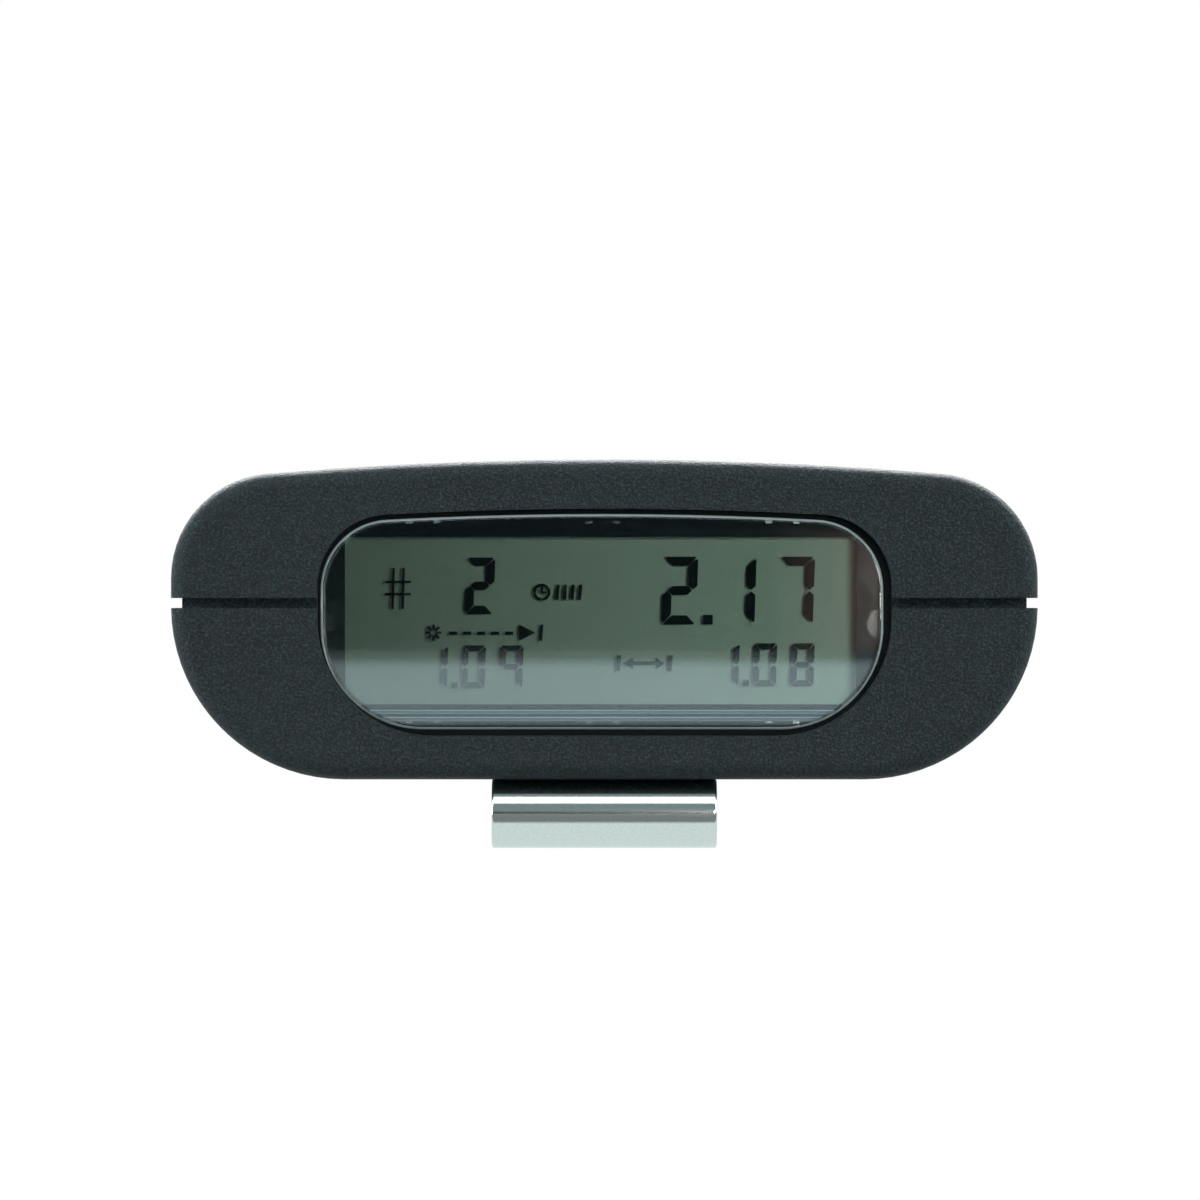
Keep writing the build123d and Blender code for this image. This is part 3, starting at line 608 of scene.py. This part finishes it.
def gap_mark():
    """Two upright bars with arrowheads between them, for the time between two sounds."""
    lean, thick = 0.12, 0.38
    marks = strokes([((k, 0), (k + lean, MARK_HEIGHT)) for k in (0.2, 5.0)], thick)
    marks += strokes([((1.5, MIDLINE), (3.8, MIDLINE))], thick)
    marks.append([(0.7, MIDLINE), (1.6, 0.2), (1.6, 1.3)])
    marks.append([(4.6, MIDLINE), (3.7, 1.3), (3.7, 0.2)])
    return marks


# Each mark and the place of its lower left corner, from the middle of the display.
MARKS = (
    (hash_sign, -20.0, 1.08),
    (clock_mark, -6.25, 1.83),
    (burst_mark, -16.25, -1.87),
    (gap_mark, 1.4, -4.72),
)


def add_figures(ink):
    """Dark figures and marks on the front of the rear glass."""
    outlines = [outline for row in NUMBERS for outline in number(*row)]
    for mark, left, low in MARKS:
        outlines += [[(left + x, low + z) for x, z in outline] for outline in mark()]
    placed = [[(view_centre_x + x * MM, view_centre_z + z * MM) for x, z in outline] for outline in outlines]
    mesh = prisms(placed, *(glass_low.y - depth for depth in INK_DEPTH))
    new_piece("lcd_figures", mesh, ink, "case")


# ---------------------------------------------------------------- belt clip

CLIP_THICK = 1.0 * MM
CLIP_EDGE = 0.22 * MM
CLIP_FLAT = 0.05 * MM
RAMP_Y = -22.0 * MM
GRIP = (-10.0 * MM, 5.7 * MM)
TIP = (-4.5 * MM, 3.9 * MM)
RAMP_RADIUS = 3.0 * MM
TIP_CORNER = 4.0 * MM
LEG_END = 2 * MM
BEND_STEPS = 26
TIP_STEPS = 8
EDGE_STEPS = 3


def fillet_path(points, radius, steps=8):
    """Points in Y and Z with each inner corner rounded by an arc."""
    path = [Vector(points[0])]
    for before, corner, after in zip(points, points[1:], points[2:]):
        corner = Vector(corner)
        a = (Vector(before) - corner).normalized()
        b = (Vector(after) - corner).normalized()
        half = math.acos(max(-1, min(1, a.dot(b)))) / 2
        reach = radius / math.tan(half)
        centre = corner + (a + b).normalized() * radius / math.sin(half)
        start = corner + a * reach - centre
        end = corner + b * reach - centre
        turn = math.pi - 2 * half
        for n in range(steps + 1):
            t = n / steps
            arm = (start * math.sin((1 - t) * turn) + end * math.sin(t * turn)) / math.sin(turn)
            path.append(centre + arm)
    path.append(Vector(points[-1]))
    return path


def clip_path():
    """Centre line of the whole strip: fixed leg, bend, springing leg, grip and flared tip."""
    low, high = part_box("belt_clip_base")
    leg_z = high.z - CLIP_THICK / 2
    bend = (high.z - CLIP_THICK) / 2
    bend_z = high.z / 2
    bend_y = low.y + bend + CLIP_THICK / 2
    path = [Vector((y, leg_z)) for y in (high.y, high.y - LEG_END, (high.y + bend_y) / 2)]
    for n in range(BEND_STEPS + 1):
        a = math.pi * n / BEND_STEPS
        path.append(Vector((bend_y - bend * math.sin(a), bend_z + bend * math.cos(a))))
    leaf = fillet_path([(bend_y, CLIP_THICK / 2), (RAMP_Y, CLIP_THICK / 2), GRIP, TIP], RAMP_RADIUS)
    path.append(Vector(((bend_y + RAMP_Y) / 2, CLIP_THICK / 2)))
    path += leaf[1:-1]
    last = leaf[-1] - leaf[-2]
    for n in range(1, TIP_STEPS + 1):
        path.append(leaf[-2] + last * math.sin(n / TIP_STEPS * math.pi / 2))
    return path


def clip_section(half_width):
    """Outline of the strip, across and through, with rounded edges."""
    half = CLIP_THICK / 2
    points = []
    for sx, sz in ((1, 1), (-1, 1), (-1, -1), (1, -1)):
        corner = [(half_width, half - CLIP_EDGE - CLIP_FLAT)]
        for n in range(EDGE_STEPS + 1):
            a = math.pi / 2 * n / EDGE_STEPS
            x = half_width - CLIP_EDGE * (1 - math.cos(a))
            corner.append((x, half - CLIP_EDGE * (1 - math.sin(a))))
        corner.append((half_width - CLIP_EDGE - CLIP_FLAT, half))
        if sx * sz < 0:
            corner.reverse()
        points += [(sx * x, sz * z) for x, z in corner]
    return points


def add_clip(steel):
    """The belt clip as one bent strip across its hinge."""
    low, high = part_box("belt_clip_base")
    half_width = (high.x - low.x) / 2
    path = clip_path()
    bm = bmesh.new()
    rings = []
    for n, point in enumerate(path):
        before = path[max(0, n - 1)]
        after = path[min(len(path) - 1, n + 1)]
        along = (after - before).normalized()
        normal = Vector((-along.y, along.x))
        left = (path[-1] - point).length
        narrow = 0.0
        if n > len(path) // 2 and left < TIP_CORNER:
            narrow = TIP_CORNER - math.sqrt(TIP_CORNER**2 - (TIP_CORNER - left) ** 2)
        section = clip_section(half_width - narrow)
        placed = [(x, *(point + normal * d)) for x, d in section]
        rings.append([bm.verts.new(place) for place in placed])
    count = len(rings[0])
    for one, two in zip(rings, rings[1:]):
        for n in range(count):
            m = (n + 1) % count
            bm.faces.new((one[n], one[m], two[m], two[n]))
    bm.faces.new(rings[0])
    bm.faces.new(list(reversed(rings[-1])))
    bmesh.ops.recalc_face_normals(bm, faces=bm.faces)
    mesh = bpy.data.meshes.new("belt_clip")
    bm.to_mesh(mesh)
    bm.free()
    for polygon in mesh.polygons:
        polygon.use_smooth = True
    piece = new_piece("belt_clip", mesh, steel, None)
    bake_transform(piece)
    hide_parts("belt_clip_base", "belt_clip_leaf")


# ---------------------------------------------------------------- stage and lights

FLOOR_Z = -0.05 * MM
FLOOR_FRONT = -2.6
FLOOR_BACK = 0.9
FLOOR_HALF = 2.2
RISE_TOP = 1.2
RISE_RADIUS = 0.45
RISE_STEPS = 16
# What lights the object from the floor: bright close by, dim further out, and a lit strip far in
# front that only the flat window shows.
FLOOR_NEAR = 0.92
FLOOR_FAR = 0.26
FLOOR_COLOUR = (0.92, 1.0, 0.985)
NEAR_FLOOR_Y = (-0.0640, -0.0622)
STRIP_STRENGTH = 1.4
STRIP_COLOUR = (0.77, 0.98, 1.07)
STRIP_Y = (-2.25, -1.80, -0.74, -0.69)
# What lights it from the room: dark at the horizon, brighter above and at the sides, with one warm
# glow in front of the window.
ROOM_TOP = 0.30
ROOM_DARK = 0.02
ROOM_HEIGHT = (0.06, 0.22)
ROOM_SIDE = (-0.40, 0.05)
ROOM_SIDE_STRENGTH = 0.8
ROOM_COLOUR = (0.78, 0.96, 1.0)
GLOW_X = (0.024, 0.038, 0.10, 0.14)
GLOW_Y = (-0.9, -0.8)
GLOW_Z = (-0.012, -0.006, 0.0085, 0.0105)
GLOW_COLOUR = (0.42, 0.30, 0.25)
WHITE_STRENGTH = 1.2
WHITE = (1.0, 1.0, 1.0)
# Each lamp's name, place, width and height, power and colour. All but the last face the display end.
LAMPS = (
    ("key_right", (0.095, -0.46, 0.045), (0.10, 0.05), 0.62, (1.0, 0.98, 0.94)),
    ("overhead", (0.0, -0.46, 0.44), (0.9, 0.24), 1.3, WHITE),
    ("side_left", (-0.7, -0.12, 0.2), (0.4, 0.4), 7.5, (0.9, 0.98, 1.0)),
    ("side_right", (0.7, -0.16, 0.25), (0.4, 0.4), 6.0, (0.95, 0.99, 1.0)),
    ("back_rim", (0.0, 0.7, 0.6), (1.2, 0.4), 26.0, WHITE),
)


def stage_glow():
    """White to the camera, and a graded glow for everything else."""
    s = Shader("backdrop")
    s.nodes.remove(s.main)
    y = s.axes(s.add("ShaderNodeNewGeometry").outputs["Position"])[1]
    close = s.add("ShaderNodeEmission")
    close.inputs["Color"].default_value = (*FLOOR_COLOUR, 1)
    s.join(s.span(y, *NEAR_FLOOR_Y, FLOOR_FAR, FLOOR_NEAR), close.inputs["Strength"])
    far = s.add("ShaderNodeEmission")
    far.inputs["Color"].default_value = (*STRIP_COLOUR, 1)
    s.join(s.calc("MULTIPLY", s.hump(y, *STRIP_Y), STRIP_STRENGTH), far.inputs["Strength"])
    glow = s.both(close.outputs["Emission"], far.outputs["Emission"])
    white = s.add("ShaderNodeEmission")
    s.join(s.by_ray("Is Camera Ray", glow, white.outputs["Emission"]), s.output.inputs["Surface"])
    return s.material


def add_stage():
    """Pale floor that ends in front of the object, with a curved rise behind it."""
    profile = [(FLOOR_FRONT, FLOOR_Z), (FLOOR_BACK, FLOOR_Z)]
    for n in range(1, RISE_STEPS + 1):
        a = math.pi / 2 * n / RISE_STEPS
        y = FLOOR_BACK + RISE_RADIUS * math.sin(a)
        profile.append((y, FLOOR_Z + RISE_RADIUS * (1 - math.cos(a))))
    profile.append((FLOOR_BACK + RISE_RADIUS, RISE_TOP))
    bm = bmesh.new()
    rows = [[bm.verts.new((x, y, z)) for x in (-FLOOR_HALF, FLOOR_HALF)] for y, z in profile]
    for one, two in zip(rows, rows[1:]):
        bm.faces.new((one[0], one[1], two[1], two[0]))
    mesh = bpy.data.meshes.new("backdrop")
    bm.to_mesh(mesh)
    bm.free()
    for polygon in mesh.polygons:
        polygon.use_smooth = True
    floor = bpy.data.objects.new("backdrop", mesh)
    bpy.context.scene.collection.objects.link(floor)
    mesh.materials.append(stage_glow())


def add_world():
    """White to the camera, and the graded room for everything else."""
    world = bpy.data.worlds.new("room")
    bpy.context.scene.world = world
    world.use_nodes = True
    world.node_tree.nodes.clear()
    room = Tree(world.node_tree)

    def background(colour, strength):
        node = room.add("ShaderNodeBackground")
        node.inputs["Color"].default_value = (*colour, 1)
        if isinstance(strength, float):
            node.inputs["Strength"].default_value = strength
        else:
            room.join(strength, node.inputs["Strength"])
        return node.outputs["Background"]

    x, y, z = room.axes(room.add("ShaderNodeTexCoord").outputs["Generated"])
    above = room.span(z, *ROOM_HEIGHT, ROOM_DARK, ROOM_TOP)
    sides = room.span(y, *ROOM_SIDE, 0, ROOM_SIDE_STRENGTH)
    patch = room.calc("MULTIPLY", room.hump(x, *GLOW_X), room.hump(z, *GLOW_Z))
    warm = room.calc("MULTIPLY", patch, room.span(y, *GLOW_Y, 1, 0))
    graded = room.both(background(ROOM_COLOUR, room.calc("ADD", above, sides)), background(GLOW_COLOUR, warm))
    seen = room.by_ray("Is Camera Ray", graded, background(WHITE, WHITE_STRENGTH))
    room.join(seen, room.add("ShaderNodeOutputWorld").inputs["Surface"])


def add_lamp(name, place, size, power, colour, aim):
    """Rectangular soft light aimed at a point."""
    data = bpy.data.lights.new(name, "AREA")
    data.shape = "RECTANGLE"
    data.size, data.size_y = size
    data.energy = power
    data.color = colour
    light = bpy.data.objects.new(name, data)
    light.location = place
    light.rotation_euler = (Vector(aim) - Vector(place)).to_track_quat("-Z", "Y").to_euler()
    bpy.context.scene.collection.objects.link(light)


def add_lamps():
    display_end = (0, end_face_y, seam_z)
    for lamp in LAMPS[:-1]:
        add_lamp(*lamp, display_end)
    add_lamp(*LAMPS[-1], (0, 0, 0))


# ---------------------------------------------------------------- build

add_camera()
finishes = dress_nodes()
add_figures(segment_ink("segment_ink").material)
add_clip(finishes["clip_steel"])
add_stage()
add_world()
add_lamps()
